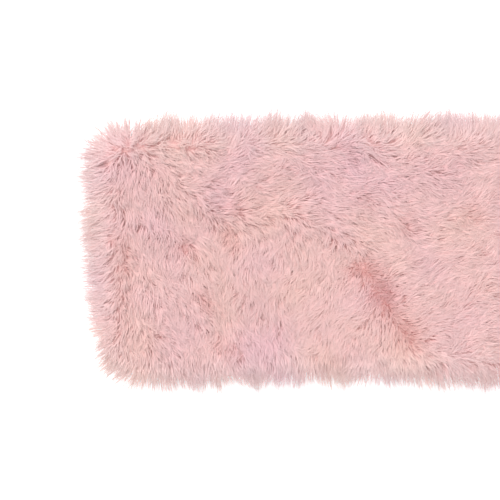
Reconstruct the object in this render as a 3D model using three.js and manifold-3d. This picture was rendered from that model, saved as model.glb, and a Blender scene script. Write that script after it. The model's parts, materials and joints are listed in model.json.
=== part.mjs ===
// Spa headband: a long soft band of plush on both faces, quilted over a thin wadding, that wraps
// round the head and closes on itself with hook-and-loop tape.
//
// It is modelled lying flat. X runs along the band, Y across it and Z up through its thickness.
// The origin is on the underside, at mid-length and mid-width. Everything is in millimetres.
//
// Cloth bends everywhere, so the band is divided into panels that meet at bend lines. Each panel
// carries its own length of face plush, wadding and back plush. The two end panels are longer,
// because the closure tape sewn to them keeps them flat. The bend lines lie in the top face, so
// the panels can roll up into a ring without running into each other.
import * as THREE from "three";
import { mergeVertices } from "three/addons/utils/BufferGeometryUtils.js";
import Module from "manifold-3d";

const wasm = await Module();
wasm.setup();

// ---------------------------------------------------------------- driving dimensions

// Overall size, measured over the pile.
const band = { length: 620, width: 100, endCornerRadius: 15, panelsPerSide: 7, endPanel: 66 };
// Each plush panel is a knitted cloth with the pile standing on its outer face.
const plush = { pile: 5.5, cloth: 0.9, edgeRadius: 5.5 };
// The two panels are sewn together under the pile, all the way round, and turned out.
const seam = { fromPileEdge: 5, allowance: 6 };
// The wadding stops a little short of the seam allowance.
const wadding = { thickness: 3, fromAllowance: 1, cornerRadius: 6 };
// Hook tape lies across the underside of the left end, loop tape across the top of the right end.
const tape = {
  width: 38,
  length: 72,
  base: 0.8,
  selvedge: 3,
  cornerRadius: 2,
  fromBandEnd: 15,
  recess: 0.2,
};
const hooks = { height: 1.4, rowPitch: 2, rowWidth: 0.9 };
const loops = { height: 1.4, chamfer: 0.5 };
const thread = { width: 0.6, height: 0.4, fromTapeEdge: 1.2 };
// A folded satin ribbon caught in the long seam of the panel next to the right end panel. Its two
// ends reach through the seam allowance.
const label = { width: 14, showing: 8, leaf: 0.4 };

// Soft layers keep this much air between them, and neighbouring panels keep the bend gap.
const clearance = 0.3;
const bendGap = 0.5;
// Cutting boxes reach this far past what they cut.
const beyond = 20;

// ---------------------------------------------------------------- worked out from those

const panelLength = (band.length - 2 * band.endPanel) / (2 * band.panelsPerSide - 1);
const plushThickness = plush.pile + plush.cloth;
const thickness = 2 * (plushThickness + clearance) + wadding.thickness;
const seamHeight = thickness / 2;
const halfLength = band.length / 2;
const halfWidth = band.width / 2;
const tapeThickness = tape.base + hooks.height;
const tapeCentre = halfLength - tape.fromBandEnd - tape.width / 2;
const labelCentre = halfLength - band.endPanel - panelLength / 2;
// The label's two leaves lie a clearance apart, above and below the seam.
const labelGap = clearance;
const labelHalfHeight = labelGap / 2 + label.leaf;
const seamInset = seam.fromPileEdge + seam.allowance;
const labelRoot = -halfWidth + seamInset;
const waddingInset = seamInset + wadding.fromAllowance;

// ---------------------------------------------------------------- materials

const colours = {
  facePlush: 0xe7bbb9,
  backPlush: 0xe6b9b7,
  wadding: 0xf4f1ec,
  tape: 0xe2aeb0,
  thread: 0xd99fa2,
  label: 0xf6f2ee,
};
const cloth = (color, roughness) =>
  new THREE.MeshStandardMaterial({ color, roughness, metalness: 0 });
const materials = {
  facePlush: cloth(colours.facePlush, 0.95),
  backPlush: cloth(colours.backPlush, 0.95),
  wadding: cloth(colours.wadding, 0.9),
  hookTape: cloth(colours.tape, 0.6),
  loopTape: cloth(colours.tape, 0.85),
  thread: cloth(colours.thread, 0.7),
  label: cloth(colours.label, 0.4),
};

// ---------------------------------------------------------------- solids

/** A three.js geometry as a manifold solid. */
function solid(geometry) {
  const bare = geometry.clone();
  bare.deleteAttribute("normal");
  bare.deleteAttribute("uv");
  const merged = mergeVertices(bare, 1e-4);
  return new wasm.Manifold(
    new wasm.Mesh({
      numProp: 3,
      vertProperties: new Float32Array(merged.attributes.position.array),
      triVerts: new Uint32Array(merged.index.array),
    }),
  );
}

/** A manifold solid as a three.js geometry. */
function geometryOf(made) {
  const mesh = made.getMesh();
  const geometry = new THREE.BufferGeometry();
  geometry.setAttribute("position", new THREE.BufferAttribute(mesh.vertProperties, 3));
  geometry.setIndex(new THREE.BufferAttribute(mesh.triVerts, 1));
  geometry.computeVertexNormals();
  return geometry;
}

/** A box between two corners. */
function boxBetween(low, high) {
  const size = high.map((v, i) => v - low[i]);
  const middle = high.map((v, i) => (v + low[i]) / 2);
  return solid(new THREE.BoxGeometry(...size).translate(...middle));
}

/** A rectangle with round corners, centred on the origin, in plan. */
function roundedRectangle(length, width, radius) {
  const x = length / 2;
  const y = width / 2;
  const shape = new THREE.Shape();
  shape.moveTo(-x + radius, -y);
  shape.lineTo(x - radius, -y);
  shape.absarc(x - radius, -y + radius, radius, -Math.PI / 2, 0);
  shape.absarc(x - radius, y - radius, radius, 0, Math.PI / 2);
  shape.lineTo(-x + radius, y);
  shape.absarc(-x + radius, y - radius, radius, Math.PI / 2, Math.PI);
  shape.absarc(-x + radius, -y + radius, radius, Math.PI, (3 * Math.PI) / 2);
  return shape;
}

/** A flat slab with round corners in plan, its bottom at the given height. */
function slab(length, width, radius, bottom, height, middleX = 0) {
  const shape = roundedRectangle(length, width, radius);
  const options = { depth: height, bevelEnabled: false, curveSegments: 5 };
  return solid(new THREE.ExtrudeGeometry(shape, options).translate(middleX, 0, bottom));
}

/** The outside of the whole band: a slab whose long edges and ends are rounded over. */
function bandEnvelope() {
  const round = plush.edgeRadius;
  const shape = roundedRectangle(
    band.length - 2 * round,
    band.width - 2 * round,
    band.endCornerRadius - round,
  );
  const options = {
    depth: thickness - 2 * round,
    bevelSize: round,
    bevelThickness: round,
    bevelSegments: 4,
    curveSegments: 6,
  };
  return solid(new THREE.ExtrudeGeometry(shape, options).translate(0, 0, round));
}

/** The room for the wadding, inside both plush panels. */
function waddingRoom() {
  return slab(
    band.length - 2 * waddingInset,
    band.width - 2 * waddingInset,
    wadding.cornerRadius,
    plushThickness,
    thickness - 2 * plushThickness,
  );
}

/** The whole sheet of wadding, before it is divided. */
function waddingSheet() {
  return slab(
    band.length - 2 * (waddingInset + clearance),
    band.width - 2 * (waddingInset + clearance),
    wadding.cornerRadius - clearance,
    plushThickness + clearance,
    wadding.thickness,
  );
}

/** The pocket in the pile that a tape lies in, with its floor a clearance beyond the tape. */
function tapePocket(middleX, bottom, top) {
  return slab(
    tape.width + 2 * clearance,
    tape.length + 2 * clearance,
    tape.cornerRadius + clearance,
    bottom,
    top - bottom,
    middleX,
  );
}

/** The slot between the two plush panels that the label comes out of. */
function labelSlot() {
  const half = label.width / 2 + clearance;
  const high = labelHalfHeight + clearance;
  return boxBetween(
    [labelCentre - half, -halfWidth - beyond, seamHeight - high],
    [labelCentre + half, labelRoot + clearance, seamHeight + high],
  );
}

/** Hook tape: a woven tape with rows of hooks standing on it, inside its plain selvedge. It faces
 *  down, so it is built upwards and turned over. */
function hookTape() {
  const base = slab(tape.width, tape.length, tape.cornerRadius, 0, tape.base);
  const field = tape.width - 2 * tape.selvedge;
  const rows = Math.floor((field - hooks.rowWidth) / hooks.rowPitch) + 1;
  const firstRow = (-(rows - 1) * hooks.rowPitch) / 2;
  const halfRow = tape.length / 2 - tape.selvedge;
  const ridges = Array.from({ length: rows }, (_, i) => {
    const x = firstRow + i * hooks.rowPitch;
    return boxBetween(
      [x - hooks.rowWidth / 2, -halfRow, tape.base / 2],
      [x + hooks.rowWidth / 2, halfRow, tape.base + hooks.height],
    );
  });
  const made = ridges.reduce((whole, ridge) => whole.add(ridge), base);
  return made.rotate([180, 0, 0]).translate([-tapeCentre, 0, tape.recess + tapeThickness]);
}

/** Loop tape: the same woven tape with a mat of loops on it, facing up. */
function loopTape() {
  const base = slab(tape.width, tape.length, tape.cornerRadius, 0, tape.base);
  const matShape = roundedRectangle(
    tape.width - 2 * (tape.selvedge + loops.chamfer),
    tape.length - 2 * (tape.selvedge + loops.chamfer),
    tape.cornerRadius,
  );
  // The mat starts inside the woven base, so that the two are one piece.
  const matBottom = tape.base / 2;
  const options = {
    depth: tape.base + loops.height - matBottom - 2 * loops.chamfer,
    bevelSize: loops.chamfer,
    bevelThickness: loops.chamfer,
    bevelSegments: 2,
    curveSegments: 5,
  };
  const mat = solid(
    new THREE.ExtrudeGeometry(matShape, options).translate(0, 0, matBottom + loops.chamfer),
  );
  const bottom = thickness - tape.recess - tape.base - loops.height;
  return base.add(mat).translate([tapeCentre, 0, bottom]);
}

/** The line of thread that sews a tape down, as one flat frame lying on its selvedge. */
function stitchFrame(middleX, bottom) {
  const outer = { x: tape.width - 2 * thread.fromTapeEdge, y: tape.length - 2 * thread.fromTapeEdge };
  const whole = slab(outer.x, outer.y, tape.cornerRadius, bottom, thread.height, middleX);
  const hole = slab(
    outer.x - 2 * thread.width,
    outer.y - 2 * thread.width,
    tape.cornerRadius - thread.width,
    bottom - beyond,
    thread.height + 2 * beyond,
    middleX,
  );
  return whole.subtract(hole);
}

/** The care label: one ribbon folded in half, its fold outside and its two ends in the seam. */
function careLabel() {
  const outer = -halfWidth - label.showing;
  const low = labelCentre - label.width / 2;
  const high = labelCentre + label.width / 2;
  const ribbon = boxBetween(
    [low, outer, seamHeight - labelHalfHeight],
    [high, labelRoot, seamHeight + labelHalfHeight],
  );
  const between = boxBetween(
    [low - beyond, outer + label.leaf, seamHeight - labelGap / 2],
    [high + beyond, labelRoot + beyond, seamHeight + labelGap / 2],
  );
  return ribbon.subtract(between);
}

// ---------------------------------------------------------------- the band

const upper = boxBetween(
  [-halfLength - beyond, -halfWidth - beyond, seamHeight + clearance / 2],
  [halfLength + beyond, halfWidth + beyond, thickness + beyond],
);
const lower = boxBetween(
  [-halfLength - beyond, -halfWidth - beyond, -beyond],
  [halfLength + beyond, halfWidth + beyond, seamHeight - clearance / 2],
);
const plushBody = bandEnvelope().subtract(waddingRoom()).subtract(labelSlot());
const pocketFloor = tape.recess + tapeThickness + clearance;
const facePlush = plushBody
  .intersect(upper)
  .subtract(tapePocket(tapeCentre, thickness - pocketFloor, thickness + beyond));
const backPlush = plushBody
  .intersect(lower)
  .subtract(tapePocket(-tapeCentre, -beyond, pocketFloor));
const waddingWhole = waddingSheet();

const headband = new THREE.Group();
headband.name = "spa_headband";

function addMesh(group, name, made, material) {
  const mesh = new THREE.Mesh(geometryOf(made), material);
  mesh.name = name;
  group.add(mesh);
}

/** Names the panels from the middle outwards: left_1, left_2 and so on, and the same on the right. */
function panelName(index) {
  if (index === 0) return "middle";
  return index < 0 ? `left_${-index}` : `right_${index}`;
}

/** The part of the band between two bend lines. An end panel reaches past the band's end. */
function panelCell(index) {
  const isLeftEnd = index === -band.panelsPerSide;
  const isRightEnd = index === band.panelsPerSide;
  const from = isLeftEnd ? -halfLength - beyond : (index - 0.5) * panelLength + bendGap / 2;
  const to = isRightEnd ? halfLength + beyond : (index + 0.5) * panelLength - bendGap / 2;
  return boxBetween(
    [from, -halfWidth - beyond, -beyond],
    [to, halfWidth + beyond, thickness + beyond],
  );
}

for (let index = -band.panelsPerSide; index <= band.panelsPerSide; index++) {
  const name = panelName(index);
  const cell = panelCell(index);
  const group = new THREE.Group();
  group.name = `panel_${name}`;
  addMesh(group, `face_plush_${name}`, facePlush.intersect(cell), materials.facePlush);
  addMesh(group, `wadding_${name}`, waddingWhole.intersect(cell), materials.wadding);
  addMesh(group, `back_plush_${name}`, backPlush.intersect(cell), materials.backPlush);
  headband.add(group);
}

const closure = new THREE.Group();
closure.name = "closure";
// Each thread frame lies a clearance off the selvedge that it sews down.
const threadDepth = tape.recess + hooks.height - clearance;
addMesh(closure, "hook_tape", hookTape(), materials.hookTape);
addMesh(
  closure,
  "hook_tape_stitching",
  stitchFrame(-tapeCentre, threadDepth - thread.height),
  materials.thread,
);
addMesh(closure, "loop_tape", loopTape(), materials.loopTape);
addMesh(
  closure,
  "loop_tape_stitching",
  stitchFrame(tapeCentre, thickness - threadDepth),
  materials.thread,
);
headband.add(closure);
addMesh(headband, "care_label", careLabel(), materials.label);

export default headband;
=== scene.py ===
# %% [markdown]
# # A plush spa headband
#
# This notebook dresses a working model of a soft headband: a band of long-haired plush, sewn from
# two panels over a thin wadding, that wraps round the head and closes on itself with hook-and-loop
# tape. The working model is a chain of stiff panels with hinges between them. Everything below is
# the cloth, pile, tape and thread that those panels stand for.

# %% Load the frame
import json
import math

import bpy
import numpy as np
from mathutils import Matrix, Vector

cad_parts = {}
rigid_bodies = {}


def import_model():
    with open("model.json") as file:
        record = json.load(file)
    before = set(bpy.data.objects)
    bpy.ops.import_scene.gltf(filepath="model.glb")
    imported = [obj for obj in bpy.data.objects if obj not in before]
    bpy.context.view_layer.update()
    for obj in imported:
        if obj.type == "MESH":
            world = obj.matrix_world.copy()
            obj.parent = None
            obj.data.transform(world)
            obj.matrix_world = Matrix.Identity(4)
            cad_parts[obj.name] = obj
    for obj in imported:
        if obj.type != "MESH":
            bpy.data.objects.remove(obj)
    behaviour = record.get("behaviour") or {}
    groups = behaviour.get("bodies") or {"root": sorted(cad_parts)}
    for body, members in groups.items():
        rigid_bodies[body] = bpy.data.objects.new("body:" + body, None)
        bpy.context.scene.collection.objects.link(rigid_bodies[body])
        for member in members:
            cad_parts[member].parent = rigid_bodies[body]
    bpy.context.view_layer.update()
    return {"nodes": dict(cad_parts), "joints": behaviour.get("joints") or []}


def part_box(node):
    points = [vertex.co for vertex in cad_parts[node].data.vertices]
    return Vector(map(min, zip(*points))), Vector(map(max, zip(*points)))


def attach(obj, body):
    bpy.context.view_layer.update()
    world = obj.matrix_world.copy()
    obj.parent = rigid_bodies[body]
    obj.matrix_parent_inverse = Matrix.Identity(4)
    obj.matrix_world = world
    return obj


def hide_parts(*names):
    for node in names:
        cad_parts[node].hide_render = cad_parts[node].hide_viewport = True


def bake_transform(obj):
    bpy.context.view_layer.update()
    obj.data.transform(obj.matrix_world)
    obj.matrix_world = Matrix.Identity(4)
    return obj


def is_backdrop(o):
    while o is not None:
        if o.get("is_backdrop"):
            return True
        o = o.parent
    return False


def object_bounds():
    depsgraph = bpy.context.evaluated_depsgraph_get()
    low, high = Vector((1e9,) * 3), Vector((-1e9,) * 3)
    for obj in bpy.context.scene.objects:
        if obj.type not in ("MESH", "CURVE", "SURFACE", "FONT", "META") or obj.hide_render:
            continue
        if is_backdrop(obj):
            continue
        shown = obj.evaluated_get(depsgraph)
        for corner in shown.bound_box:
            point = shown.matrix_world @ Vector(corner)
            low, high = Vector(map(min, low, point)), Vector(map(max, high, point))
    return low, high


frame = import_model()

# %% [markdown]
# ## Sizes
#
# Every place comes from the frame, turned to millimetres, because pile and thread are sizes that a
# maker gives in millimetres. The hinges give the bend lines. The band is cut into sections halfway
# between them, so that each section spans one hinge only, and the two ends are stiff.

# %% Measure the frame
MM = 0.001


def box_mm(node):
    """The lowest and highest corners of a frame node, in millimetres."""
    low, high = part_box(node)
    return np.array(low) / MM, np.array(high) / MM


def node_names(start):
    """Frame nodes whose names begin with these words, from the left end of the band to the right."""
    found = [n for n in frame["nodes"] if n.startswith(start)]
    return sorted(found, key=lambda n: box_mm(n)[0][0])


face_nodes = node_names("face_plush")
back_nodes = node_names("back_plush")
wadding_nodes = node_names("wadding")
LEFT_X = box_mm(face_nodes[0])[0][0]
RIGHT_X = box_mm(face_nodes[-1])[1][0]
THICKNESS = box_mm(face_nodes[0])[1][2]
MID_Z = THICKNESS / 2
HALF_WIDTH = box_mm(face_nodes[0])[1][1]

joints = sorted(frame["joints"], key=lambda j: j["pos_m"][0])
bend_x = [j["pos_m"][0] / MM for j in joints]
half_pitch = (bend_x[1] - bend_x[0]) / 2
# The bodies at the left and the right of each bend line, in order along +X.
bend_bodies = [
    (j["child"], j["parent"]) if j["pos_m"][0] < 0 else (j["parent"], j["child"])
    for j in joints
]
end_bodies = (bend_bodies[0][0], bend_bodies[-1][1])
cuts = [LEFT_X] + [x - half_pitch for x in bend_x] + [bend_x[-1] + half_pitch, RIGHT_X]
print(f"band {RIGHT_X - LEFT_X:.0f} x {2 * HALF_WIDTH:.0f} x {THICKNESS:.1f} mm,", len(cuts) - 1, "sections")

# %% [markdown]
# ## The shape under the pile
#
# The cloth inside is a flat pillow. Its plan is set by where the pile's tips must end: the band is
# not a perfect rectangle, because soft cloth narrows a little between its sewn ends, its end leans,
# and its corners are turned out with different roundness. The cloth's own outline is that of the
# tips, moved in by the pile's reach.
#
# A signed distance to that outline is all that the later steps need. It says how far inside a
# point is, and its slope says which way is out.

# %% Outline and distance to it
PILE_REACH = 6.2
RIM = 4.5
CLOTH_HALF = 2.7
# Where the pile ends at the far and near long edges, at places along the band.
edge_at = np.array([LEFT_X, -292, -262, -230, -205, -170, -120, 0, 150, RIGHT_X])
far_edge = np.array([48.2, 49.2, 49.9, 50.4, 50.7, 50.9, 50.0, 49.8, 50.2, 49.6])
near_edge = np.array([-49.4, -50.8, -50.0, -48.4, -48.6, -50.0, -50.4, -49.7, -50.1, -49.4])
# Where the pile ends at the two short ends, at places across the band.
end_at = np.array([-50, -35, -20, 0, 20, 35, 50])
left_end = np.array([-305.2, -307.0, -308.6, -310.0, -310.3, -310.6, -308.7])
right_end = np.array([308.0, 309.2, 309.6, 309.3, 309.5, 309.0, 307.5])
FAR_LEFT_CORNER = 11.0
OTHER_CORNERS = 16.0


def smooth_line(x, at, value):
    """A smooth curve through a few points: straight steps, rounded by averaging over a short span."""
    span = np.linspace(-9, 9, 7)
    return np.mean([np.interp(x + s, at, value) for s in span], axis=0)


def inside(x, y, reach=PILE_REACH):
    """How far a point lies inside the outline, moved in by reach. Outside it is negative."""
    far = smooth_line(x, edge_at, far_edge) - reach - y
    near = y - smooth_line(x, edge_at, near_edge) - reach
    left = x - smooth_line(y, end_at, left_end) - reach
    right = smooth_line(y, end_at, right_end) - reach - x
    side = np.minimum(far, near)
    end = np.minimum(left, right)
    corner = np.where((left < right) & (far < near), FAR_LEFT_CORNER, OTHER_CORNERS)
    corner = np.maximum(corner - reach * 0.9, 1.0)
    a = corner - side
    b = corner - end
    rounded = corner - np.hypot(a, b)
    return np.where((a > 0) & (b > 0), rounded, np.minimum(side, end))


def outward(x, y):
    """The direction straight out over the nearest edge, as two components."""
    step = 0.5
    gx = inside(x - step, y) - inside(x + step, y)
    gy = inside(x, y - step) - inside(x, y + step)
    size = np.maximum(np.hypot(gx, gy), 1e-9)
    return gx / size, gy / size


print(f"cloth outline: {inside(0.0, 0.0):.1f} mm from the middle")

# %% [markdown]
# ## Lumps, valleys and partings
#
# Nothing on a plush surface is flat. Slow noise gives the wadding its lumps, turns the hair and
# varies its length. It is a sum of sine waves with seeded directions.

# %% Smooth noise
def wave_noise(x, y, size, seed, count=9):
    """Smooth noise between about -1 and 1, with bumps of about this size in millimetres."""
    chance = np.random.default_rng(seed)
    total = np.zeros(np.broadcast(x, y).shape)
    for _ in range(count):
        angle = chance.uniform(0, 2 * math.pi)
        wave = 2 * math.pi / (size * chance.uniform(1.2, 3.0))
        shift = chance.uniform(0, 2 * math.pi)
        total += np.sin((x * math.cos(angle) + y * math.sin(angle)) * wave + shift)
    return total / math.sqrt(count / 2) / 1.6


sample = wave_noise(np.linspace(LEFT_X, RIGHT_X, 500), 0.0, 16, 11)
print(f"noise along the band: {sample.min():.2f} to {sample.max():.2f}")

# %% [markdown]
# ### Partings
#
# A hand drawn over the pile leaves partings, where the hair falls away to both sides and the roots
# show, with painted shade darkening the colour there. Each is a short straight line with a width and
# a depth, and a little noise makes its sides uneven.

# %% Partings in the pile
def distance_to_line(x, y, start, end):
    """Distance from points to a straight stretch, and the way from it to them."""
    ax, ay = start
    dx, dy = end[0] - ax, end[1] - ay
    t = np.clip(((x - ax) * dx + (y - ay) * dy) / (dx * dx + dy * dy), 0, 1)
    px, py = x - (ax + t * dx), y - (ay + t * dy)
    return np.hypot(px, py), px, py


# start, end, half width, depth from 0 to 1
partings = [
    ((-205, -6), (-196, -20), 3.9, 1.0),
    ((-196, -20), (-187, -34), 3.6, 0.9),
    ((-223, 43), (-211, 36), 2.0, 0.5),
    ((-296, 5), (-296, -31), 2.6, 0.32),
    ((-291, -39), (-262, -39), 1.8, 0.25),
    ((-256, -38), (-238, -38), 1.7, 0.22),
    ((-274, 4), (-271, 1), 2.2, 0.75),
    ((-256, 8), (-253, 3), 2.0, 0.7),
    ((-255, 18), (-254, 14), 1.8, 0.6),
    ((-269, -15), (-262, -21), 1.8, 0.6),
    ((-258, -34), (-252, -38), 2.6, 0.55),
    ((-222, -38), (-210, -38), 2.4, 0.45),
    ((-192, 12), (-189, 10), 2.2, 0.55),
    ((-208, 21), (-206, 18), 2.0, 0.45),
    ((-168, 15), (-164, 12), 2.2, 0.45),
    ((-158, -42), (-155, -45), 2.2, 0.5),
    ((-60, 20), (-48, 6), 2.8, 0.7),
    ((40, -12), (58, -20), 3.0, 0.8),
    ((130, 25), (141, 14), 2.4, 0.6),
    ((205, -5), (214, -19), 2.8, 0.7),
]


def parting_depth(x, y):
    """From 0, unparted, to 1, where the roots show, and the push away from the partings' middles."""
    depth = np.zeros(np.broadcast(x, y).shape)
    push_x, push_y = depth.copy(), depth.copy()
    wobble = 1.3 * wave_noise(x, y, 5, 41)
    for start, end, half, most in partings:
        away, off_x, off_y = distance_to_line(x, y, start, end)
        depth = np.maximum(depth, most * np.exp(-(((away + wobble) / half) ** 2)))
        push = most * np.exp(-((away / (1.7 * half)) ** 2)) / np.maximum(away, 0.5)
        push_x, push_y = push_x + off_x * push, push_y + off_y * push
    return depth, push_x, push_y


print("partings:", len(partings))

# %% [markdown]
# ### The cloth's two surfaces
#
# The cloth rounds over at its rim. It is pressed flat under each closure tape, and the stitching
# that holds the hook tape pulls the face down in two faint lines across the end.

# %% Heights of the cloth
hook_low, hook_high = box_mm("hook_tape")
loop_low, loop_high = box_mm("loop_tape")
# The tape on the face (side 1) and on the back (side -1), and how far round it cloth is pressed.
TAPES = {1: (loop_low, loop_high), -1: (hook_low, hook_high)}
TAPE_SEAT = 7


def over_tape(x, y, low, high, margin):
    """1 over a tape, falling to 0 within the margin round it."""
    dx = np.maximum(np.maximum(low[0] - x, x - high[0]), 0)
    dy = np.maximum(np.maximum(low[1] - y, y - high[1]), 0)
    t = np.clip(1 - np.hypot(dx, dy) / margin, 0, 1)
    return t * t * (3 - 2 * t)


def valley_depth(x, y):
    """How far the tape's stitching pulls the face down, in millimetres."""
    lines = (hook_low[0] + 1, hook_high[0] - 1)
    pull = sum(np.exp(-(((x - line) / 4.5) ** 2)) for line in lines)
    return 0.9 * pull * np.clip((inside(x, y) - 2) / 8, 0, 1)


def rim_height(d):
    """Half the cloth's thickness, at a distance inside its outline."""
    t = np.clip(1 - d / RIM, 0, 1)
    return CLOTH_HALF * np.sqrt(np.maximum(1 - t * t, 0))


def cloth_top(x, y):
    """Height of the cloth's upper face."""
    d = inside(x, y)
    settle = np.clip(d / 12, 0, 1)
    lumps = (0.55 * wave_noise(x, y, 16, 11) - 0.25) * settle
    under = over_tape(x, y, *TAPES[1], TAPE_SEAT)
    seat = (loop_low[2] - 0.25 - MID_Z - CLOTH_HALF) * under
    return MID_Z + rim_height(d) + lumps * (1 - under) - valley_depth(x, y) + seat


def cloth_bottom(x, y):
    """Height of the cloth's lower face."""
    d = inside(x, y)
    under = over_tape(x, y, *TAPES[-1], TAPE_SEAT)
    seat = (MID_Z - CLOTH_HALF - hook_high[2] - 0.25) * under
    return MID_Z - rim_height(d) + 0.2 * wave_noise(x, y, 22, 12) * np.clip(d / 12, 0, 1) * (1 - under) - seat


print(f"cloth at the middle: {cloth_bottom(0.0, 0.0):.1f} to {cloth_top(0.0, 0.0):.1f} mm high")

# %% [markdown]
# ## Which way the pile lies
#
# Long pile keeps the lie that it was last brushed to. A handful of brush strokes, each a place and
# a direction, are blended by distance, and a slow meander takes over where no stroke reaches. Near
# an edge the hair has nothing beside it to lean on, so it fans outwards.

# %% Brush strokes
# along, across, direction of the tips in degrees from +X towards +Y
strokes = [
    (-300, 42, 140), (-303, 20, 165), (-303, 0, 185), (-303, -25, 200),
    (-296, 31, -62), (-296, 2, -68), (-296, -28, -66), (-287, 16, -56), (-287, -14, -62),
    (-278, 24, -85), (-278, 1, -86), (-278, -22, -52), (-268, 8, -83), (-268, -14, -58),
    (-278, 40, -40), (-268, 38, -20), (-259, 1, -88), (-250, 1, -94), (-250, -16, -80),
    (-258, -30, -95), (-252, 24, 36), (-262, 26, 30), (-250, 40, -5), (-240, 38, -16),
    (-240, -7, -104), (-231, -7, -108), (-222, -14, -122), (-212, -22, -140), (-214, -8, -115),
    (-205, -33, -120), (-222, 1, -126), (-231, 22, 28), (-222, 38, -22), (-222, 16, -10),
    (-204, 8, -32), (-204, 30, -12), (-193, 16, -24), (-194, -3, 0), (-184, 1, 16),
    (-184, -14, 44), (-175, -14, 38), (-176, -32, 20), (-165, -14, 32), (-156, 1, 28),
    (-175, 38, 8), (-160, 36, 14), (-156, -30, 10), (-192, -44, -60), (-240, -36, -75),
]
STROKE_SPREAD = 12.5
# Where no stroke reaches, the pile lies this way, in degrees, and the strokes outweigh it.
FACE_LIE = 14.0
BACK_LIE = 39.0
LIE_WEIGHT = 0.12


def turned(fx, fy, angle):
    """Directions turned by angles in radians."""
    return fx * np.cos(angle) - fy * np.sin(angle), fx * np.sin(angle) + fy * np.cos(angle)


def lie(x, y, side):
    """The direction the tips point in, as two components, with the fan at the edges."""
    wander = np.radians(FACE_LIE if side > 0 else BACK_LIE) + 0.9 * wave_noise(x, y, 55, 21)
    fx = LIE_WEIGHT * np.cos(wander)
    fy = LIE_WEIGHT * np.sin(wander)
    for sx, sy, angle in strokes if side > 0 else []:
        weight = np.exp(-((x - sx) ** 2 + (y - sy) ** 2) / STROKE_SPREAD**2)
        fx = fx + weight * math.cos(math.radians(angle))
        fy = fy + weight * math.sin(math.radians(angle))
    size = np.maximum(np.hypot(fx, fy), 1e-6)
    fx, fy = turned(fx, fy, 0.42 * wave_noise(x, y, 9, 22) + 0.28 * wave_noise(x, y, 4, 23))
    fx, fy = fx / size, fy / size
    if side > 0:
        push_x, push_y = parting_depth(x, y)[1:]
        fx, fy = fx + 1.3 * push_x, fy + 1.3 * push_y
    ox, oy = turned(*outward(x, y), 0.55 * wave_noise(x, y, 13, 24))
    fan = 0.76 * np.clip(1 - (inside(x, y) - 0.5) / 6, 0, 1) ** 1.3
    fx, fy = fx * (1 - fan) + ox * fan * 1.2, fy * (1 - fan) + oy * fan * 1.2
    size = np.maximum(np.hypot(fx, fy), 1e-6)
    return fx / size, fy / size


def crown(x, y, side):
    """How strongly the pile spreads apart here, per millimetre. Where it does, hairs stand up."""
    step = 1.5
    along = lie(x + step, y, side)[0] - lie(x - step, y, side)[0]
    across = lie(x, y + step, side)[1] - lie(x, y - step, side)[1]
    return (along + across) / (2 * step)


print("strokes:", len(strokes))

# %% [markdown]
# ## Growing the pile
#
# Particle hair is quick, but it isn't there in an exported mesh. Here each lock is a small closed
# spike with three sides and a bend in its middle, so that it can be bent over a hinge, exported and
# printed like any other mesh.
#
# Plush hair sticks together in tufts. So tufts are planted first, on a jittered grid, and each tuft
# carries a few locks. A lock is many times coarser than a real fibre and stands for a wisp of them.

# %% Plant the tufts
# Millimetres between tufts. The back lies on the table, so it makes do with fewer.
FACE_SPACING = 1.3
BACK_SPACING = 1.9
# The rim is planted closer, over a strip this many spacings wide.
RIM_CLOSER = 0.56
RIM_STRIP = 1.9
# How far inside the outline the rim's tufts take over from the flat ones.
RIM_START = RIM * 0.8


def planting(spacing, seed):
    """Jittered points over the whole band, one for each square of this spacing."""
    chance = np.random.default_rng(seed)
    xs = np.arange(LEFT_X, RIGHT_X, spacing)
    ys = np.arange(-HALF_WIDTH - 2, HALF_WIDTH + 2, spacing)
    x, y = (g.ravel() for g in np.meshgrid(xs, ys))
    x = x + chance.uniform(-0.5, 0.5, x.size) * spacing
    y = y + chance.uniform(-0.5, 0.5, y.size) * spacing
    return x, y


def slope(height, x, y):
    """The slope of a height function, along and across."""
    step = 0.4
    along = (height(x + step, y) - height(x - step, y)) / (2 * step)
    across = (height(x, y + step) - height(x, y - step)) / (2 * step)
    return along, across


def unit(v):
    return v / np.maximum(np.linalg.norm(v, axis=-1, keepdims=True), 1e-9)


def plant(side, spacing, seed):
    """Tufts on the face (side 1) or the back (side -1): roots, normals and a share of rim."""
    height = cloth_top if side > 0 else cloth_bottom
    x, y = planting(spacing, seed)
    keep = (inside(x, y) > RIM_START) & (over_tape(x, y, *TAPES[side], 0.8) <= 0)
    x, y = x[keep], y[keep]
    sx, sy = slope(height, x, y)
    normal = unit(np.stack([-sx, -sy, np.ones_like(x)], 1) * side)
    root = np.stack([x, y, height(x, y)], 1)
    # The rim: points close to the outline, spread over its quarter round.
    rx, ry = planting(spacing * RIM_CLOSER, seed + 1)
    d = inside(rx, ry)
    near_line = (d > 0) & (d < spacing * RIM_STRIP)
    rx, ry, d = rx[near_line], ry[near_line], d[near_line]
    ox, oy = outward(rx, ry)
    chance = np.random.default_rng(seed + 2)
    climb = chance.uniform(0, math.pi / 2, rx.size)
    sink = d - RIM_START * (1 - np.cos(climb))
    rx, ry = rx + ox * sink, ry + oy * sink
    rim_root = np.stack([rx, ry, MID_Z + side * CLOTH_HALF * np.sin(climb)], 1)
    up = side * np.sin(climb)
    rim_normal = np.stack([ox * np.cos(climb), oy * np.cos(climb), up], 1)
    on_rim = np.concatenate([np.zeros(len(root)), np.cos(climb)])
    return np.concatenate([root, rim_root]), np.concatenate([normal, rim_normal]), on_rim


face_tufts = plant(1, FACE_SPACING, 101)
back_tufts = plant(-1, BACK_SPACING, 201)
print("tufts: face", len(face_tufts[0]), "back", len(back_tufts[0]))

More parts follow.
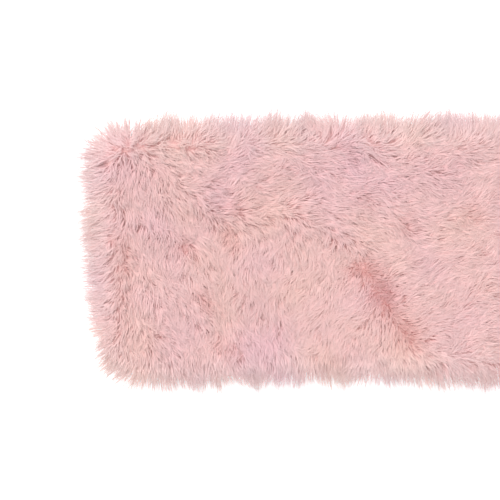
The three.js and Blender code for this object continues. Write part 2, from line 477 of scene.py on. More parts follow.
# %% [markdown]
# ### How a tuft stands
#
# A tuft's lie sets its way, laid along the cloth on the flat and left free at the rim. Where the
# hair spreads apart it stands up, and where it is parted it stands up and is shorter. Round a tape
# it is shorter too.

# %% Way, reach and lean of each tuft
LOCK_LENGTH = 8.4
# How much tufts differ in direction, in degrees.
TUFT_TURN = 14
# Degrees that hair stands up more where it is parted, and where it spreads apart.
PARTED_RISE = 30
CROWN_RISE = 72


def tuft_habits(tufts, side, seed, chance):
    """For each tuft: its flow, the way aside, how parted it is, its reach and its lean."""
    root, normal, on_rim = tufts
    count = len(root)
    x, y = root[:, 0], root[:, 1]
    spreading = np.clip(crown(x, y, side), -0.1, 0.6) * (1 - on_rim)
    loose = 1 - 0.6 * on_rim + 3 * np.maximum(spreading, 0)
    fx, fy = turned(*lie(x, y, side), np.radians(chance.normal(0, TUFT_TURN, count) * loose))
    flat = np.stack([fx, fy, np.zeros(count)], 1)
    flow = unit(flat - normal * np.sum(flat * normal, 1, keepdims=True) * (1 - on_rim[:, None]))
    parted = parting_depth(x, y)[0] * (side > 0)
    reach = LOCK_LENGTH * (1 + 0.05 * wave_noise(x, y, 6, seed + 5) + 0.04 * chance.normal(size=count))
    reach *= (1 + 0.085 * on_rim) * (1 - 0.3 * parted) * (1 - 0.45 * over_tape(x, y, *TAPES[side], 9))
    lean = chance.normal(0, 4, count) + PARTED_RISE * parted + CROWN_RISE * spreading * (1 - parted)
    return flow, np.cross(normal, flow), parted, reach, lean


print("hair:", LOCK_LENGTH, "mm long")

# %% [markdown]
# ### Locks
#
# A lock leaves the cloth steeply and lies over in its outer half. The locks of one tuft differ a
# little in turn, rise, length and thickness, and short ones fill in under the long ones. On the
# back the locks are pressed by the band's own weight, so none reaches below the surface that the
# band lies on.

# %% Grow locks from the tufts
FACE_LOCKS = 8
BACK_LOCKS = 5
LOCK_RADIUS = 0.155
BACK_THICKER = 1.25
# Degrees that a lock rises from the cloth, in its inner and its outer half.
LOCK_RISE = np.array([49.0, 12.0])
# A ring's size as a share of the radius, and how far a lock's rings close up to the tuft's middle.
RING_SIZE = np.array([0.8, 1.0])
CLOSING = np.array([0.0, 0.03, 0.08])
# How far apart a tuft's locks start, in millimetres, and how far its root is sunk in the cloth.
TUFT_WIDTH = 0.6
ROOT_DEPTH = 0.4
# How much the locks of a tuft differ in direction, on the flat and more at the rim, in degrees.
LOCK_TURN = 10
RIM_LOCK_TURN = 14
# A share of the locks is shorter and makes the fill under the others.
SHORT_SHARE = 0.33
# The lowest that a hair may reach over the table.
RESTING_Z = 0.15
RING = 3
STEPS = 2
# How far a lock shades like a single hair, on the flat and more at the rim, for face and back.
OWN_SHADING = {1: (0.42, 0.08), -1: (0.5, 1.0)}


def ring_ways(along, normal, roll):
    """The ways from a lock's line to the points of its rings."""
    across = unit(np.cross(along, normal[:, None] + 0.01))
    third = np.cross(along, across)
    roll = (roll[:, None] + np.arange(RING) * 2 * math.pi / RING)[:, None, :, None]
    return across[:, :, None] * np.cos(roll) + third[:, :, None] * np.sin(roll)


def soft_normals(hair, normal, on_rim, side):
    """A pile shades about half like the surface that it grows from and half like single hairs."""
    flat_own, rim_own = OWN_SHADING[side]
    own = np.clip(flat_own + rim_own * on_rim, 0, 1)[:, None, None]
    surface = unit(normal + np.array([0, 0, side]) * 0.9 * on_rim[:, None])[:, None]
    return unit(hair * own + surface * (1 - own))


def grow(tufts, side, locks, seed, radius=LOCK_RADIUS):
    """Arrays with one row for each lock: its points and their normals, shade, parting and root."""
    chance = np.random.default_rng(seed)
    root, normal, on_rim = tufts
    count = len(root)
    flow, aside, parted, reach, lean = tuft_habits(tufts, side, seed, chance)
    # Every tuft is now copied into its locks.
    tuft = np.repeat(np.arange(count), locks)
    total = len(tuft)
    turn = np.radians(chance.normal(0, LOCK_TURN + RIM_LOCK_TURN * on_rim[tuft], total))
    flow, aside = turned(flow[tuft], aside[tuft], -turn[:, None])
    normal, on_rim = normal[tuft], on_rim[tuft]
    rise = np.radians(LOCK_RISE[None, :] + (lean[tuft] + chance.normal(0, 5 + 7 * on_rim))[:, None])
    short = chance.uniform(0, 1, total) < SHORT_SHARE
    short_reach = chance.uniform(0.68, 0.88, total)
    vary = np.where(short, short_reach, np.clip(chance.normal(1, 0.07, total), 0.8, 1.2))
    # At the rim a few hairs reach far past the others, so that the edge fades out.
    vary = vary * (1 - on_rim) + (0.7 + 0.85 * chance.uniform(0, 1, total) ** 1.5) * on_rim
    piece = (reach[tuft] * vary / STEPS)[:, None, None]
    steps = unit(flow[:, None] * np.cos(rise)[..., None] + normal[:, None] * np.sin(rise)[..., None]) * piece
    spread = chance.normal(0, TUFT_WIDTH, (total, 2))
    offset = flow * spread[:, :1] + aside * spread[:, 1:]
    closing = 1 - CLOSING[None, :] * (1 - on_rim)[:, None]
    line = np.concatenate([np.zeros((total, 1, 3)), np.cumsum(steps, 1)], 1)
    line += root[tuft][:, None] + offset[:, None] * closing[..., None]
    line[:, 0] -= normal * ROOT_DEPTH
    line[..., 2] = np.maximum(line[..., 2], RESTING_Z + 0.3 * np.abs(spread[:, :1]))
    # Three-sided rings round the line, then one point for the tip.
    along = unit(steps)
    ring = ring_ways(along, normal, chance.uniform(0, 2 * math.pi, total))
    thick = radius * np.clip(chance.normal(1, 0.15, total), 0.6, 1.5) * (1 - 0.56 * on_rim)
    size = thick[:, None, None, None] * RING_SIZE[None, :, None, None]
    rings = (line[:, :STEPS, None] + ring * size).reshape(total, STEPS * RING, 3)
    hair = np.concatenate([ring.reshape(total, STEPS * RING, 3), along[:, -1:]], 1)
    x, y = root[:, 0], root[:, 1]
    patch = 0.10 * wave_noise(x, y, 7, 71) + 0.08 * wave_noise(x, y, 3, 72)
    tuft_shade = 0.22 * (chance.uniform(0, 1, count)[tuft] - 0.5)
    shade = 0.5 + patch[tuft] + tuft_shade + chance.normal(0, 0.05, total)
    return {
        "points": np.concatenate([rings, line[:, STEPS:]], 1),
        "normals": soft_normals(hair, normal, on_rim, side),
        "shade": np.clip(shade, 0, 1),
        "parted": parted[tuft],
        # Painted edge light: near the edge the pile is thin, and its colour is painted lighter where light
        # comes through it.
        "painted_edge_light": np.clip(1 - (inside(x, y) - 1) / 9, 0, 1)[tuft] ** 1.5,
        "root_x": root[tuft, 0],
    }


face_locks = grow(face_tufts, 1, FACE_LOCKS, 301)
back_locks = grow(back_tufts, -1, BACK_LOCKS, 401, radius=LOCK_RADIUS * BACK_THICKER)
print("locks: face", len(face_locks["points"]), "back", len(back_locks["points"]))

# %% [markdown]
# ## Materials
#
# Colours are written as the hex values that a dyer's card would show and turned to linear light by
# one function. One small function adds a node, sets it and links it. A node that mixes two colours
# has its share, first and second colour at sockets 0, 6 and 7, and its result at socket 2.

# %% Colour and node helpers
def linear(code):
    """An sRGB hex colour as linear red, green, blue and alpha."""
    parts = [int(code[i : i + 2], 16) / 255 for i in (0, 2, 4)]
    return [p / 12.92 if p <= 0.04045 else ((p + 0.055) / 1.055) ** 2.4 for p in parts] + [1.0]


def add(tree, kind, inputs=None, **settings):
    """Adds a node, sets its settings, and sets or links its inputs."""
    made = tree.nodes.new(kind)
    for name, value in settings.items():
        setattr(made, name, value)
    for socket, value in (inputs or {}).items():
        if isinstance(value, bpy.types.NodeSocket):
            tree.links.new(value, made.inputs[socket])
        else:
            made.inputs[socket].default_value = value
    return made


def new_material(name):
    """An empty node material and its tree."""
    made = bpy.data.materials.new(name)
    made.use_nodes = True
    made.node_tree.nodes.clear()
    return made, made.node_tree


def finish_with(tree, **settings):
    """Ends a material in one surface, with the principled shader's inputs by name."""
    inputs = {name.replace("_", " "): value for name, value in settings.items()}
    bsdf = add(tree, "ShaderNodeBsdfPrincipled", inputs)
    add(tree, "ShaderNodeOutputMaterial", {"Surface": bsdf.outputs["BSDF"]})


print("dusty pink in linear light:", [round(v, 3) for v in linear("F1D0CE")[:3]])

# %% [markdown]
# ### Dyed polyester pile
#
# The pile is fine polyester fibre, dyed dusty pink. Its colour is painted lighter at the tips, a
# painted light for where light passes through the fibres, and darker at the roots, a painted shade
# for where light has bounced off many neighbours. Each lock carries its own shade, as real tufts do.

# %% Pile material
def polyester_pile(name, painted_root_shade, middle, tip, painted_edge_light):
    """Pile coloured from painted shade at the root, through its own pink, to painted light at the tip, and to
    painted edge light where it is thin.
    """
    made, tree = new_material(name)
    along = add(tree, "ShaderNodeAttribute", attribute_name="along").outputs["Fac"]
    shade = add(tree, "ShaderNodeAttribute", attribute_name="shade").outputs["Fac"]
    place = add(tree, "ShaderNodeTexCoord").outputs["Object"]
    ramp = add(tree, "ShaderNodeValToRGB", {"Fac": along})
    stops = ramp.color_ramp.elements
    # Stops: painted root shade at 0, the pile's own pink, painted tip light, and painted edge light at 1.
    stops[0].position, stops[0].color = 0.0, linear(painted_root_shade)
    stops[1].position, stops[1].color = 1.0, linear(painted_edge_light)
    stops.new(0.24).color = linear(middle)
    stops.new(0.7).color = linear(tip)
    # Patches a few centimetres wide, a little mauve or a little peach.
    cloud = add(tree, "ShaderNodeTexNoise", {"Vector": place, "Scale": 45.0, "Detail": 1.0}).outputs["Fac"]
    mauve_or_peach = {0: cloud, 6: linear("F8E6F2"), 7: linear("FFF1E6")}
    tint = add(tree, "ShaderNodeMix", mauve_or_peach, data_type="RGBA").outputs[2]
    colours = {0: 1.0, 6: ramp.outputs["Color"], 7: tint}
    tinted = add(tree, "ShaderNodeMix", colours, data_type="RGBA", blend_type="MULTIPLY").outputs[2]
    level = add(tree, "ShaderNodeMapRange", {"Value": shade, "To Min": 0.90, "To Max": 1.08})
    final = add(tree, "ShaderNodeHueSaturation", {"Color": tinted, "Value": level.outputs["Result"]})
    finish_with(
        tree,
        Base_Color=final.outputs["Color"],
        Roughness=0.75,
        IOR=1.5,
        Specular_IOR_Level=0.12,
        Sheen_Weight=0.15,
        Sheen_Roughness=0.5,
        Sheen_Tint=linear("F8D6D2"),
    )
    return made


# Painted root shade, the pile's own pink, painted tip light and painted edge light.
pile = polyester_pile("dyed_polyester_pile", "CB8E89", "F1D0CE", "F8E4E2", "FDF6F5")
print("material:", pile.name)

# %% [markdown]
# ### Knit, wadding, thread, ribbon and tape
#
# The other textiles are two close shades of one colour in a fine pattern, and differ in the pattern
# and in how much they shine. The knit has a row of loops in about 0.9 mm. The wadding is mottled
# where its fibres bunch. The thread's two plies twist, the satin's threads float lengthwise, and
# the tapes are woven over and under.

# %% Materials of the plain textiles
def textile(name, light, dark, kind, pattern, finish, **settings):
    """Two shades in a fine pattern, and a finish for the whole."""
    made, tree = new_material(name)
    place = add(tree, "ShaderNodeTexCoord").outputs["Object"]
    share = add(tree, kind, {"Vector": place, **pattern}, **settings).outputs["Fac"]
    mix = add(tree, "ShaderNodeMix", {0: share, 6: linear(dark), 7: linear(light)}, data_type="RGBA")
    finish_with(tree, Base_Color=mix.outputs[2], **finish)
    return made


knit = textile(
    "dyed_knit_backing", "F0CCC9", "E6BCB8",
    "ShaderNodeTexWave", {"Scale": 1100.0, "Distortion": 1.5},
    {"Roughness": 0.9, "Sheen_Weight": 0.2}, bands_direction="Y",
)
batting = textile(
    "polyester_batting", "FBFAF7", "E2E0DC",
    "ShaderNodeTexNoise", {"Scale": 900.0, "Detail": 4.0},
    {"Roughness": 0.95, "Sheen_Weight": 0.4},
)
thread = textile(
    "spun_polyester_thread", "F3C6C3", "DB9E9B",
    "ShaderNodeTexWave", {"Scale": 700.0},
    {"Roughness": 0.55, "Sheen_Weight": 0.1}, bands_direction="DIAGONAL",
)
satin = textile(
    "blank_satin_ribbon", "FCFAF8", "EDEAE6",
    "ShaderNodeTexWave", {"Scale": 1500.0, "Distortion": 0.6},
    {"Roughness": 0.35, "Anisotropic": 0.5, "Sheen_Weight": 0.1}, bands_direction="X",
)
hook_nylon = textile(
    "white_nylon_hook_tape", "F6EDEA", "E7DAD6",
    "ShaderNodeTexChecker", {"Scale": 1000.0 / 0.6},
    {"Roughness": 0.45, "IOR": 1.53},
)
loop_nylon = textile(
    "white_nylon_loop_tape", "F8EFEC", "EEE2DE",
    "ShaderNodeTexChecker", {"Scale": 1000.0 / 0.5},
    {"Roughness": 0.6, "IOR": 1.53},
)
print("textiles:", ", ".join(m.name for m in (knit, batting, thread, satin, hook_nylon, loop_nylon)))

# %% [markdown]
# ## Locks to meshes
#
# Each section of the band becomes one mesh of locks. A lock has a ring at its root, a ring at its
# bend and a point at its tip, so three sides, three spikes and a closed root. Its texture map gives
# every lock a cell of its own, with the sides beside each other, so that a baked picture of the
# material can hold each lock's shade from root to tip.

# %% Build a mesh from locks
LOCK_POINTS = STEPS * RING + 1
BEND_ALONG = 0.55
# Each face of one lock as its corners, and as those corners' places on the map.
sides = [(k, (k + 1) % RING, RING + (k + 1) % RING, RING + k) for k in range(RING)]
spikes = [(RING + k, RING + (k + 1) % RING, 2 * RING) for k in range(RING)]
lock_faces = sides + spikes + [(2, 1, 0)]
side_map = [[(k, 0), (k + 1, 0), (k + 1, 1), (k, 1)] for k in range(RING)]
spike_map = [[(k, 1), (k + 1, 1), (RING / 2, 2)] for k in range(RING)]
lock_map = np.array([p for face in side_map + spike_map + [[(2, 0), (1, 0), (0, 0)]] for p in face])


def set_values(mesh, name, values):
    """Gives each point of a mesh a value that its material can read."""
    made = mesh.attributes.new(name, "FLOAT", "POINT")
    made.data.foreach_set("value", values.astype(np.float32).ravel())


def lock_mesh(name, locks, chosen):
    """One mesh of the chosen locks, with its material's values and a map cell for each lock."""
    points, shade = locks["points"][chosen], locks["shade"][chosen]
    parted, painted_edge_light = locks["parted"][chosen], locks["painted_edge_light"][chosen]
    count = len(points)
    corners = np.concatenate(lock_faces)
    loops = (np.arange(count)[:, None] * LOCK_POINTS + corners[None, :]).ravel()
    loop_totals = np.tile([len(face) for face in lock_faces], count)
    loop_starts = np.concatenate([[0], np.cumsum(loop_totals)[:-1]])
    mesh = bpy.data.meshes.new(name)
    mesh.vertices.add(count * LOCK_POINTS)
    mesh.vertices.foreach_set("co", (points * MM).astype(np.float32).ravel())
    mesh.loops.add(len(loops))
    mesh.loops.foreach_set("vertex_index", loops.astype(np.int32))
    mesh.polygons.add(len(loop_totals))
    mesh.polygons.foreach_set("loop_start", loop_starts.astype(np.int32))
    mesh.update(calc_edges=True)
    mesh.polygons.foreach_set("use_smooth", np.ones(len(loop_totals), bool))
    # Along picks the pile's colour from painted root shade to painted tip light; parted locks get more
    # painted root shade, and locks near the edge more painted edge light.
    along = np.array([0.0] * RING + [BEND_ALONG] * RING + [1.0])[None, :]
    along = 0.7 * along * (1 - 0.7 * parted[:, None]) + 0.3 * painted_edge_light[:, None]
    set_values(mesh, "along", along)
    set_values(mesh, "shade", np.repeat(shade, LOCK_POINTS))
    # The map is a square of cells, and a lock fills the middle of its own.
    cells = math.ceil(math.sqrt(count))
    cell = np.stack([np.arange(count) % cells, np.arange(count) // cells], -1)[:, None]
    place = (cell + 0.12 + 0.76 * lock_map[None] / (RING, STEPS)) / cells
    layer = mesh.uv_layers.new(name="OFBake")
    layer.data.foreach_set("uv", place.astype(np.float32).ravel())
    normals = locks["normals"][chosen].reshape(-1, 3)
    mesh.normals_split_custom_set_from_vertices(normals.tolist())
    made = bpy.data.objects.new(name, mesh)
    bpy.context.scene.collection.objects.link(made)
    return made


print("one lock:", LOCK_POINTS, "points and", len(lock_faces), "faces")

# %% [markdown]
# ### The band in sections
#
# Sixteen sections make the band. Each of the inner fourteen reaches over its own hinge, from one
# stiff panel of the working model to the next, and keeps its place without a body. The two ends
# carry the tapes and stay stiff on their end bodies. A section stands for the panels that it reaches over.

# %% Divide the pile into sections
def place_section(piece, index):
    """A section at an end rides on that end's body. Any other keeps its place without a body."""
    if index == 0:
        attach(piece, end_bodies[0])
    elif index == len(cuts) - 2:
        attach(piece, end_bodies[1])
    else:
        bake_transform(piece)


def nodes_of_section(nodes, index):
    """The frame nodes that a section stands for: the two that its hinge joins, or an end."""
    if index == 0:
        return nodes[:1]
    if index == len(cuts) - 2:
        return nodes[-1:]
    return nodes[index - 1 : index + 1]


def in_section(x, index):
    """Which points belong to a section. The first and last also take what lies beyond the cuts."""
    low = -1e9 if index == 0 else cuts[index]
    high = 1e9 if index == len(cuts) - 2 else cuts[index + 1]
    return (x >= low) & (x < high)


for side, locks, nodes in (("face", face_locks, face_nodes), ("back", back_locks, back_nodes)):
    for i in range(len(cuts) - 1):
        piece = lock_mesh(f"{side}_pile_{i + 1:02d}", locks, in_section(locks["root_x"], i))
        piece.data.materials.append(pile)
        place_section(piece, i)
        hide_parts(*nodes_of_section(nodes, i))
    print(side, "pile:", len(locks["points"]), "locks in", len(cuts) - 1, "sections")

# %% [markdown]
# ## Cloth and wadding under the pile
#
# The pile is knitted into a backing cloth. Two such cloths, face and back, meet at the seam that
# runs round the middle of the edge, and a thin sheet of wadding lies loose between them. Each is
# bounded by two height functions.

# %% Upper and lower surfaces of each layer
KNIT = 0.9


def face_inner(x, y):
    return np.maximum(cloth_top(x, y) - KNIT, MID_Z + 0.05)


def face_outer(x, y):
    return np.maximum(cloth_top(x, y), MID_Z + 0.2)


def back_inner(x, y):
    return np.minimum(cloth_bottom(x, y) + KNIT, MID_Z - 0.05)


def back_outer(x, y):
    return np.minimum(cloth_bottom(x, y), MID_Z - 0.2)


def wadding_top(x, y):
    fluff = 1.2 + 0.25 * wave_noise(x, y, 9, 51) + 0.12 * wave_noise(x, y, 3.5, 52)
    return np.minimum(MID_Z + fluff, face_inner(x, y) - 0.15)


def wadding_bottom(x, y):
    fluff = 1.2 + 0.25 * wave_noise(x, y, 9, 53) + 0.12 * wave_noise(x, y, 3.5, 54)
    return np.maximum(MID_Z - fluff, back_inner(x, y) + 0.15)


print(f"knit {KNIT} mm, wadding {wadding_top(0.0, 0.0) - wadding_bottom(0.0, 0.0):.1f} mm")

# %% [markdown]
# ### Closed sheets
#
# Cloth, tape and ribbon are all the same thing to build: one grid of points above, the same grid
# below, and a wall round the edge. The cloth's grid has its lines closer together near the edges,
# where the cloth curves most.

# %% Sheets between two surfaces
def slab_faces(n, m):
    """Faces of a closed sheet: a grid of n by m points above, then the same grid below."""
    top = np.arange(n * m).reshape(n, m)
    low = top + n * m
    up = np.stack([top[:-1, :-1], top[1:, :-1], top[1:, 1:], top[:-1, 1:]], -1).reshape(-1, 4)
    down = np.stack([low[:-1, :-1], low[:-1, 1:], low[1:, 1:], low[1:, :-1]], -1).reshape(-1, 4)
    ring = np.concatenate([top[:, 0], top[-1, 1:], top[-2::-1, -1], top[0, -2:0:-1]])
    after = np.roll(ring, -1)
    wall = np.stack([ring, ring + n * m, after + n * m, after], -1)
    return np.concatenate([up, down, wall]).tolist()


def mesh_from(name, parts, material):
    """One mesh piece from several lists of points and faces."""
    points, faces, at = [], [], 0
    for some_points, some_faces in parts:
        points.append(np.asarray(some_points))
        faces += [[c + at for c in face] for face in some_faces]
        at += len(some_points)
    mesh = bpy.data.meshes.new(name)
    mesh.from_pydata((np.concatenate(points) * MM).tolist(), [], faces)
    mesh.polygons.foreach_set("use_smooth", np.ones(len(faces), bool))
    mesh.materials.append(material)
    made = bpy.data.objects.new(name, mesh)
    bpy.context.scene.collection.objects.link(made)
    return made


def sheet_points(upper, lower, x0, x1, inset, across=41, step=2.5):
    """Points and faces of a sheet between two height functions, over a stretch of the band."""
    xs = np.linspace(x0, x1, max(2, round((x1 - x0) / step) + 1))
    ts = np.sin(np.linspace(-1, 1, across) * math.pi / 2)
    probe = np.linspace(-HALF_WIDTH, HALF_WIDTH, 801)
    rows = []
    for x in xs:
        hit = probe[inside(np.full(probe.size, x), probe) > inset]
        low, high = (hit[0], hit[-1]) if len(hit) > 1 else (-1.0, 1.0)
        rows.append(np.stack([np.full(across, x), (low + high) / 2 + ts * (high - low) / 2], 1))
    gx, gy = np.moveaxis(np.array(rows), -1, 0)
    layers = [np.stack([gx, gy, height(gx, gy)], -1).reshape(-1, 3) for height in (upper, lower)]
    return np.concatenate(layers), slab_faces(*gx.shape)


# How far each layer stays inside the cloth's outline: the wadding stops short of the seam.
CLOTH_INSET = 0.02
WADDING_INSET = 6.0
END_GAP = PILE_REACH + 0.6
layers = (
    ("face_cloth", face_outer, face_inner, knit, CLOTH_INSET, "face_plush", None),
    ("back_cloth", back_inner, back_outer, knit, CLOTH_INSET, "back_plush", None),
    ("wadding", wadding_top, wadding_bottom, batting, WADDING_INSET, "wadding", wadding_nodes),
)
for label, upper, lower, material, inset, slot, nodes in layers:
    for i in range(len(cuts) - 1):
        x0 = cuts[i] + (END_GAP + inset if i == 0 else 0)
        x1 = cuts[i + 1] - (END_GAP + inset if i == len(cuts) - 2 else 0)
        grid = sheet_points(upper, lower, x0, x1, inset)
        piece = mesh_from(f"{label}_{i + 1:02d}", [grid], material)
        place_section(piece, i)
        if nodes:
            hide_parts(*nodes_of_section(nodes, i))
    print(label, "in", len(cuts) - 1, "sections")

# %% [markdown]
# ## The closure
#
# Hook-and-loop tape is two nylon tapes, woven flat, one with hooks and one with loops. Hooks, loops
# and stitches are all short lengths of fine thread, so one function draws a closed tube along a
# line, for hundreds of lines at a time. Another makes the flat tape that they stand on.

# %% Tubes and tapes
def tube_points(lines, radii, sides):
    """Closed tubes round many lines of the same number of points: points and faces."""
    count, steps = lines.shape[:2]
    along = unit(np.gradient(lines, axis=1))
    mean = unit(lines[:, -1] - lines[:, 0] + 1e-6)
    helper = np.where(np.abs(mean[:, 2:3]) > 0.9, [[1.0, 0.0, 0.0]], [[0.0, 0.0, 1.0]])
    turned = unit(np.cross(mean, helper))
    across = unit(turned[:, None] - along * np.sum(along * turned[:, None], -1, keepdims=True))
    third = np.cross(along, across)
    angle = (np.arange(sides) * 2 * math.pi / sides)[None, None, :, None]
    ring = across[:, :, None] * np.cos(angle) + third[:, :, None] * np.sin(angle)
    points = lines[:, :, None] + ring * np.asarray(radii)[None, :, None, None]
    k = np.arange(sides)
    after = (k + 1) % sides
    s = (np.arange(steps - 1) * sides)[:, None]
    quads = np.stack([s + k, s + after, s + sides + after, s + sides + k], -1).reshape(-1, 4)
    base = (np.arange(count) * steps * sides)[:, None]
    faces = (base[..., None] + quads[None]).reshape(-1, 4).tolist()
    for end in (k[::-1], (steps - 1) * sides + k):
        faces += (base + end[None]).tolist()
    return points.reshape(-1, 3), faces


def woven_slab(low, high, corner, ridge=0.12, pitch=1.2, edge=0.25):
    """A thin tape with rounded plan corners, soft edges and a slight woven unevenness."""
    half = (high - low)[:2] / 2
    middle = (high + low)[:2] / 2
    nx, ny = (int(round(2 * h / 0.5)) + 1 for h in half)
    steps = np.linspace(-half[0], half[0], nx), np.linspace(-half[1], half[1], ny)
    gx, gy = np.meshgrid(*steps, indexing="ij")
    ax, ay = np.abs(gx) - (half[0] - corner), np.abs(gy) - (half[1] - corner)
    both = (ax > 0) & (ay > 0)
    shrink = np.where(both, np.maximum(np.maximum(ax, ay), 1e-6) / np.maximum(np.hypot(ax, ay), 1e-6), 1.0)
    px = np.where(both, np.sign(gx) * (half[0] - corner + ax * shrink), gx)
    py = np.where(both, np.sign(gy) * (half[1] - corner + ay * shrink), gy)
    near = np.minimum(half[0] - np.abs(gx), half[1] - np.abs(gy))
    thin = edge * (1 - np.clip(near / 0.8, 0, 1)) ** 2
    weave = ridge * 0.5 * (1 + np.sin(gx * 2 * math.pi / pitch) * np.sin(gy * 2 * math.pi / pitch))
    weave = weave * np.clip(near / 0.8, 0, 1)
    top = np.stack([middle[0] + px, middle[1] + py, high[2] - thin - weave], -1)
    bottom = np.stack([middle[0] + px, middle[1] + py, low[2] + thin + weave], -1)
    return np.concatenate([top.reshape(-1, 3), bottom.reshape(-1, 3)]), slab_faces(*gx.shape)


tape_x, tape_y = (hook_high - hook_low)[:2]
print(f"tape: {tape_x:.0f} x {tape_y:.0f} mm")

# %% [markdown]
# ### Hook tape
#
# The hook half is sewn to the back near the left end. Its middle is a field of small hooks, each a
# cut loop of stiff thread that bends over, in straight rows. Its plain woven edges, the selvedges,
# take the stitching. The hooks point away from the band, so here they point down. Neighbouring rows
# face opposite ways, so that the closure holds in both directions.

# %% Hook tape
TAPE_BASE = 0.8
TAPE_CORNER = 2.0
SELVEDGE = 3.0
HOOK_ROWS = 1.6
HOOK_PITCH = 1.5
chance = np.random.default_rng(61)
base_low = np.array([hook_low[0], hook_low[1], hook_high[2] - TAPE_BASE])
hooks_x = np.arange(hook_low[0] + SELVEDGE + 0.8, hook_high[0] - SELVEDGE - 0.7, HOOK_ROWS)
hooks_y = np.arange(hook_low[1] + SELVEDGE + 0.8, hook_high[1] - SELVEDGE - 0.7, HOOK_PITCH)
hx, hy = (g.ravel() for g in np.meshgrid(hooks_x, hooks_y, indexing="ij"))
way = np.where(np.repeat(np.arange(len(hooks_x)), len(hooks_y)) % 2 == 0, 1.0, -1.0)
# A hook's line: up from the base, over, and back down to a cut end.
bend_y = np.array([0.0, 0.02, 0.0, 0.1, 0.36, 0.64, 0.74, 0.66])
bend_z = np.array([-0.1, 0.35, 0.8, 1.14, 1.27, 1.14, 0.86, 0.66])
tilt = chance.normal(0, 0.06, (hx.size, 1))
sway = chance.normal(0, 0.05, (hx.size, 1))
hook_lines = np.stack(
    [
        hx[:, None] + bend_z[None, :] * tilt,
        hy[:, None] + way[:, None] * (bend_y[None, :] - 0.35) + bend_z[None, :] * sway,
        base_low[2] - bend_z[None, :] + 0 * hx[:, None],
    ],
    -1,
)
hook_radii = np.array([0.13, 0.12, 0.115, 0.11, 0.11, 0.11, 0.105, 0.085])
hook_base = woven_slab(base_low, hook_high, TAPE_CORNER)
hooks = tube_points(hook_lines, hook_radii, 6)
hook_piece = mesh_from("hook_tape_woven", [hook_base, hooks], hook_nylon)
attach(hook_piece, end_bodies[0])
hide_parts("hook_tape")
print("hooks:", hx.size)

# %% [markdown]
# ### Loop tape
#
# The loop half lies face up at the other end. It is knitted with a nap of fine loops, brushed so
# that they lean every way and tangle, and so give the hooks something to catch.

# %% Loop tape
chance = np.random.default_rng(62)
loop_base_high = np.array([loop_high[0], loop_high[1], loop_low[2] + TAPE_BASE])
LOOP_COUNT = 2300
LOOP_THREAD = 0.055
lx = chance.uniform(loop_low[0] + SELVEDGE, loop_high[0] - SELVEDGE, LOOP_COUNT)
ly = chance.uniform(loop_low[1] + SELVEDGE, loop_high[1] - SELVEDGE, LOOP_COUNT)
heading = chance.uniform(0, 2 * math.pi, LOOP_COUNT)
width = chance.uniform(0.45, 0.8, LOOP_COUNT)
tall = chance.uniform(0.7, 1.3, LOOP_COUNT)
lean = chance.normal(0, 0.35, (LOOP_COUNT, 2))
turn = np.linspace(-0.2, math.pi + 0.2, 8)[None, :]
out = np.cos(turn) * width[:, None]
up = np.sin(turn) * tall[:, None]
loop_lines = np.stack(
    [
        lx[:, None] + out * np.cos(heading)[:, None] + up * lean[:, :1],
        ly[:, None] + out * np.sin(heading)[:, None] + up * lean[:, 1:],
        loop_base_high[2] - 0.05 + up,
    ],
    -1,
)
loop_base = woven_slab(loop_low, loop_base_high, TAPE_CORNER, ridge=0.1, pitch=1.0)
loops = tube_points(loop_lines, np.full(8, LOOP_THREAD), 4)
loop_piece = mesh_from("loop_tape_knitted", [loop_base, loops], loop_nylon)
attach(loop_piece, end_bodies[1])
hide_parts("loop_tape")
print("loops:", LOOP_COUNT)

# %% [markdown]
# ### Stitching
#
# A lockstitch runs round each tape, inside the selvedge, and ends with a few stitches back over
# itself. Each stitch is a short length of thread, from one needle hole to the next.

# %% Stitches
STITCH = 3.0
THREAD = 0.3
# Places along one stitch, from hole to hole, and how high the thread lies there, in millimetres.
STITCH_AT = np.array([0.02, 0.08, 0.2, 0.5, 0.8, 0.92, 0.98])
STITCH_RISE = np.array([-0.45, -0.05, 0.16, 0.24, 0.16, -0.05, -0.45])
STITCH_SLANT = np.array([-1, -0.8, -0.5, 0, 0.5, 0.8, 1]) * 0.14
BACKTACK_RISE = np.array([-0.45, -0.05, 0.3, 0.42, 0.3, -0.05, -0.45])
BACKTACKS = 4


def stitch_lines(low, high, surface, up, inset=1.2):
    """Stitches round a rectangle inside a tape's edges, as lines of points."""
    (x0, y0), (x1, y1) = low[:2] + inset + THREAD, high[:2] - inset - THREAD
    corners = np.array([(x0, y0), (x1, y0), (x1, y1), (x0, y1), (x0, y0)])
    lines = []
    for a, b in zip(corners[:-1], corners[1:]):
        count = round(np.hypot(*(b - a)) / STITCH)
        step = (b - a) / count
        side = np.array([-step[1], step[0]]) / np.hypot(*step)
        for k in range(count):
            flat = a + step * k + STITCH_AT[:, None] * step + STITCH_SLANT[:, None] * side
            lines.append(np.column_stack([flat, surface + up * STITCH_RISE]))
    for k in range(BACKTACKS):
        flat = x0 + 0.5 + STITCH * (k + STITCH_AT)
        lines.append(np.column_stack([flat, np.full(7, y0 + 0.32), surface + up * BACKTACK_RISE]))
    return np.array(lines)


thread_radii = THREAD * np.array([0.7, 0.95, 1.0, 1.0, 1.0, 0.95, 0.7])
for name, low, high, surface, up, body in (
    ("hook_tape_stitching", hook_low, hook_high, base_low[2], -1, end_bodies[0]),
    ("loop_tape_stitching", loop_low, loop_high, loop_base_high[2], 1, end_bodies[1]),
):
    lines = stitch_lines(low, high, surface, up)
    piece = mesh_from(name + "_thread", [tube_points(lines, thread_radii, 8)], thread)
    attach(piece, body)
    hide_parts(name)
    print(name, len(lines), "stitches")

# %% [markdown]
# ## Care label
#
# A blank satin ribbon, folded once and caught in the seam, so that two leaves show. It is drawn as
# the strip's middle line, out from the seam, round the fold and back, given the ribbon's width and
# thickness.

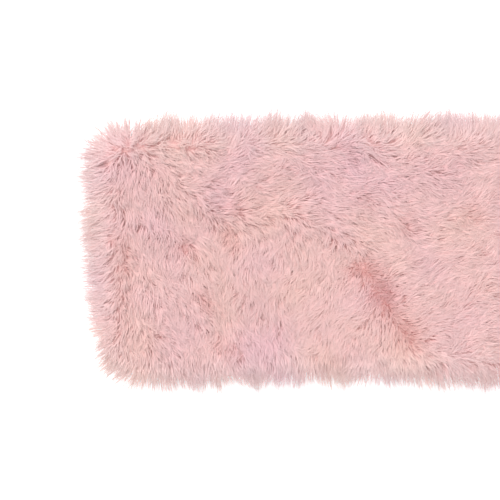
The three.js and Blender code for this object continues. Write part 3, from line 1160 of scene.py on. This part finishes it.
# %% Care label
label_low, label_high = box_mm("care_label")
RIBBON = 0.22
HALF_GAP = 0.34
LEAF_POINTS = 24
out_y = np.linspace(label_high[1], label_low[1] + HALF_GAP + 0.15, LEAF_POINTS)
turn = np.linspace(0, math.pi, 9)[1:-1]
leaf_z = np.full(LEAF_POINTS, HALF_GAP)
path_y = np.concatenate([out_y, out_y[-1] - HALF_GAP * np.sin(turn), out_y[::-1]])
path_z = np.concatenate([leaf_z, HALF_GAP * np.cos(turn), -leaf_z])
# Outside the seam the leaves part a little and wave.
past_seam = -HALF_WIDTH - path_y
flare = np.clip(past_seam / 8, 0, 1)
path_z = MID_Z + path_z * (0.75 + 0.5 * flare) - 0.25 * np.sin(past_seam * 0.5) * flare
tangent = unit(np.stack([np.gradient(path_y), np.gradient(path_z)], 1))
normal_y, normal_z = tangent[:, 1], -tangent[:, 0]
across = np.linspace(-1, 1, 15)
middle_x = (label_low[0] + label_high[0]) / 2
half_label = (label_high[0] - label_low[0]) / 2
surfaces = []
for way in (1, -1):
    px = middle_x + across[None, :] * half_label + 0 * path_y[:, None]
    curl = 0.12 * across[None, :] ** 2 * flare[:, None]
    py = (path_y + way * normal_y * RIBBON / 2)[:, None] + 0 * px
    pz = (path_z + way * normal_z * RIBBON / 2)[:, None] + curl
    surfaces.append(np.stack([px, py, pz], -1).reshape(-1, 3))
ribbon = (np.concatenate(surfaces), slab_faces(len(path_y), len(across)))
label_piece = mesh_from("care_label_ribbon", [ribbon], satin)
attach(label_piece, "right_6")
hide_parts("care_label")

# %% [markdown]
# ## Studio
#
# The band lies on a white light table, whose faint glow keeps the ground pure white and fills the
# shade at the band's edges.

# %% Floor
bpy.ops.mesh.primitive_plane_add(size=6, location=(0, 0, -0.0002))
floor = bpy.context.object
floor.name = "floor"
table, tree = new_material("white_light_table")
glow = {"Emission_Color": linear("FFFFFF"), "Emission_Strength": 0.35}
finish_with(tree, Base_Color=linear("FAFAFA"), Roughness=0.8, **glow)
floor.data.materials.append(table)
floor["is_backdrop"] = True
print("floor:", floor.name)

# %% [markdown]
# ### Light and camera
#
# A large soft light hangs over the band, a little to the left of it, in a room with white walls.
# The camera looks straight down on the left end.

# %% Light and camera
LENS_HEIGHT = 0.522
world = bpy.data.worlds.new("studio")
bpy.context.scene.world = world
world.use_nodes = True
walls = world.node_tree.nodes["Background"]
# The walls look white, and light the band a little less than they look.
seen = add(world.node_tree, "ShaderNodeLightPath").outputs["Is Camera Ray"]
level = add(world.node_tree, "ShaderNodeMapRange", {"Value": seen, "To Min": 0.6, "To Max": 1.0})
walls.inputs["Color"].default_value = (1, 1, 1, 1)
world.node_tree.links.new(level.outputs["Result"], walls.inputs["Strength"])

lamp_data = bpy.data.lights.new("softbox", "AREA")
lamp_data.shape = "SQUARE"
lamp_data.size = 1.3
lamp_data.energy = 55.5
lamp = bpy.data.objects.new("softbox", lamp_data)
lamp.location = (-0.55, 0.35, 2.5)
lamp.rotation_euler = (math.radians(-8), math.radians(-8), 0)
bpy.context.scene.collection.objects.link(lamp)

bpy.context.scene.view_settings.view_transform = "Standard"
camera_data = bpy.data.cameras.new("camera")
camera_data.lens = 100
camera_data.sensor_width = 36
camera = bpy.data.objects.new("camera", camera_data)
camera.location = (-0.2477, 0.0005, THICKNESS * MM + LENS_HEIGHT)
bpy.context.scene.collection.objects.link(camera)
bpy.context.scene.camera = camera
print("light:", lamp_data.energy, "W, camera:", camera_data.lens, "mm lens")

# %% [markdown]
# ## Size of the dressed band
#
# The dressed band may reach a little past the frame's box, by the length of its longest hairs.

# %% Measure the dressed band
low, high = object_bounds()
print("visual box, mm:", [round(v / MM, 1) for v in low], [round(v / MM, 1) for v in high])
